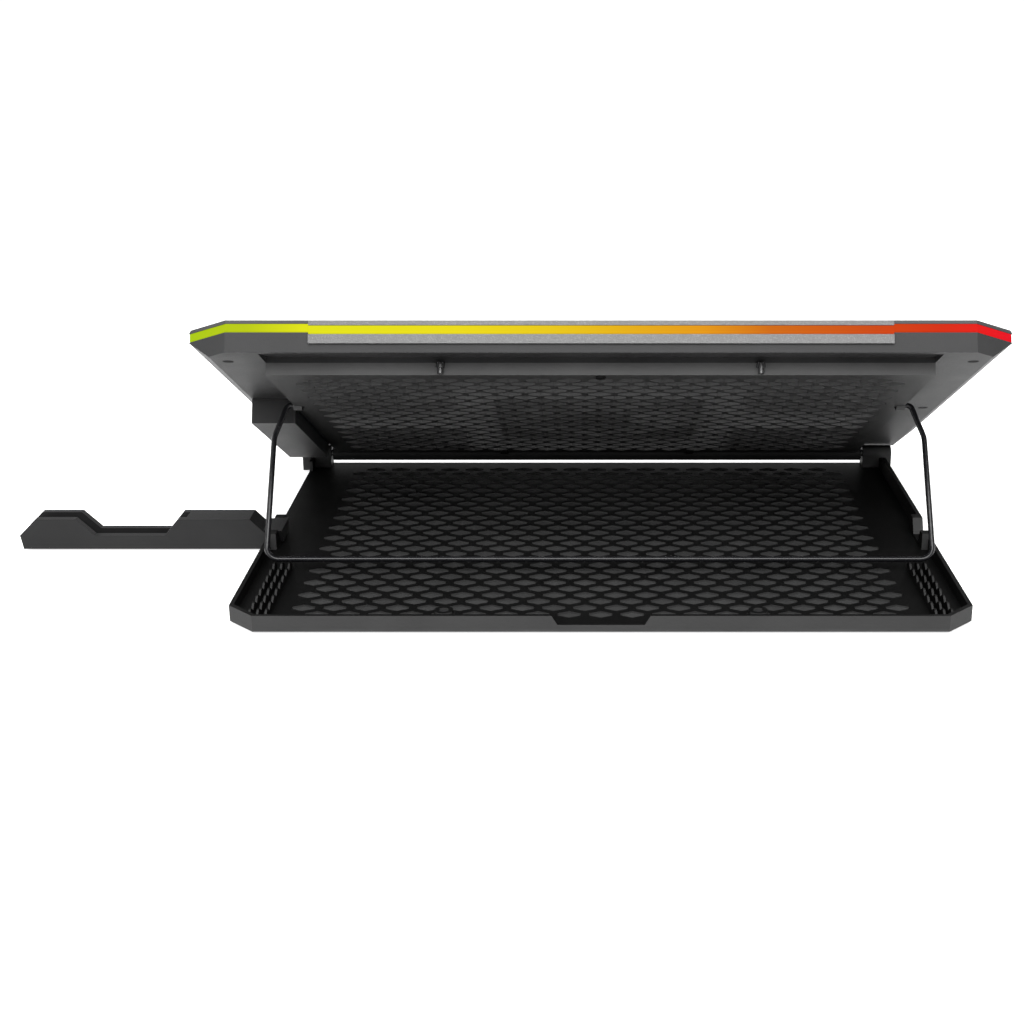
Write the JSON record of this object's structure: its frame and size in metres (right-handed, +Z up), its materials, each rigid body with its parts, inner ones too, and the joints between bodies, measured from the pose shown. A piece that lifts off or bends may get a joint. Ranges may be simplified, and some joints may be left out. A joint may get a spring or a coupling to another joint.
{
  "type": "laptop cooling pad",
  "caption": "Raised laptop cooling pad: hinged fan deck over a flat tray, folding wire prop, side control box and clip-on phone holder.",
  "frame": {"origin": "centre of the bounding box on the surface the tray stands on, with the deck at its raised rest pose and the phone holder fitted", "axes": "+Z up; +Y from the raised rear edge towards the hinge and the user; +X along the hinge, away from the phone holder"},
  "size_m": [0.5332, 0.2886, 0.1479],
  "materials": {
    "shell": "fine moulded texture, satin",
    "trim": "fine silver-grey grain",
    "grille": "fine moulded texture",
    "tray": "fine moulded texture",
    "mesh": "black powder coat",
    "light": "frosted diffuser, lit",
    "board": "solder mask",
    "fan": "satin",
    "rubber": "matt",
    "steel": "plated",
    "screw": "black oxide",
    "wire": "gloss black enamel",
    "holder": "satin",
    "clip": "satin light grey",
    "button": "satin"
  },
  "bodies": {
    "tray": {"base_tray": "tray", "deck_bumpers": "rubber", "tray_feet": "rubber", "hinge_pins": "steel"},
    "deck": {"deck_bottom_shell": "shell", "deck_top_shell": "shell", "top_mesh": "mesh", "rear_trim_upper": "trim", "rear_trim_lower": "trim", "light_diffuser": "light", "light_board": "board", "belly_cover": "grille", "strut_clips": "clip", "shell_screws": "screw", "belly_screws": "screw", "control_box": "shell", "control_board": "board", "usb_ports": "steel", "stop_pins": "steel", "top_grip_pads": "rubber", "fan_frame_centre": "fan", "fan_frame_rear_left": "fan", "fan_frame_rear_right": "fan", "fan_frame_front_left": "fan", "fan_frame_front_right": "fan"},
    "prop": {"prop_wire": "wire"},
    "holder": {"phone_holder": "holder", "holder_foot": "rubber", "holder_lining": "rubber"},
    "rotor_centre": {"fan_rotor_centre": "fan"},
    "rotor_rear_left": {"fan_rotor_rear_left": "fan"},
    "rotor_rear_right": {"fan_rotor_rear_right": "fan"},
    "rotor_front_left": {"fan_rotor_front_left": "fan"},
    "rotor_front_right": {"fan_rotor_front_right": "fan"},
    "button_power": {"button_power": "button"},
    "button_speed": {"button_speed": "button"},
    "button_light": {"button_light": "button"},
    "stop_left": {"laptop_stop_left": "shell"},
    "stop_right": {"laptop_stop_right": "shell"}
  },
  "joints": [
    {"name": "deck_fold", "type": "hinge", "parent": "tray", "child": "deck", "pos_m": [0.05905, 0.13018, 0.0114], "axis": [1, 0, 0], "range_deg": [0, 20]},
    {"name": "prop_fold", "type": "hinge", "parent": "deck", "child": "prop", "pos_m": [0.05905, -0.01228, 0.08133], "axis": [1, 0, 0], "range_deg": [-78, 0]},
    {"name": "holder_lift", "type": "slide", "parent": "tray", "child": "holder", "axis": [0, 0, -1], "range_m": [-0.03, 0]},
    {"name": "fan_spin_centre", "type": "hinge", "parent": "deck", "child": "rotor_centre", "pos_m": [0.05905, 0.02092, 0.07025], "axis": [0, 0.4384, 0.8988], "continuous": true},
    {"name": "fan_spin_rear_left", "type": "hinge", "parent": "deck", "child": "rotor_rear_left", "pos_m": [-0.05695, -0.0402, 0.10006], "axis": [0, 0.4384, 0.8988], "continuous": true},
    {"name": "fan_spin_rear_right", "type": "hinge", "parent": "deck", "child": "rotor_rear_right", "pos_m": [0.17505, -0.0402, 0.10006], "axis": [0, 0.4384, 0.8988], "continuous": true},
    {"name": "fan_spin_front_left", "type": "hinge", "parent": "deck", "child": "rotor_front_left", "pos_m": [-0.05695, 0.08204, 0.04044], "axis": [0, 0.4384, 0.8988], "continuous": true},
    {"name": "fan_spin_front_right", "type": "hinge", "parent": "deck", "child": "rotor_front_right", "pos_m": [0.17505, 0.08204, 0.04044], "axis": [0, 0.4384, 0.8988], "continuous": true},
    {"name": "press_power", "type": "slide", "parent": "deck", "child": "button_power", "axis": [1, 0, 0], "range_m": [0, 0.001], "stiffness_N_per_m": 600, "springref_m": -0.0005},
    {"name": "press_speed", "type": "slide", "parent": "deck", "child": "button_speed", "axis": [1, 0, 0], "range_m": [0, 0.001], "stiffness_N_per_m": 600, "springref_m": -0.0005},
    {"name": "press_light", "type": "slide", "parent": "deck", "child": "button_light", "axis": [1, 0, 0], "range_m": [0, 0.001], "stiffness_N_per_m": 600, "springref_m": -0.0005},
    {"name": "stop_flip_left", "type": "hinge", "parent": "deck", "child": "stop_left", "pos_m": [-0.05095, 0.13948, 0.02934], "axis": [1, 0, 0], "range_deg": [-100, 0]},
    {"name": "stop_flip_right", "type": "hinge", "parent": "deck", "child": "stop_right", "pos_m": [0.16905, 0.13948, 0.02934], "axis": [1, 0, 0], "range_deg": [-100, 0]}
  ],
  "couplings": [
    {"joint": "prop_fold", "follows": "deck_fold", "ratio": -3.9}
  ]
}
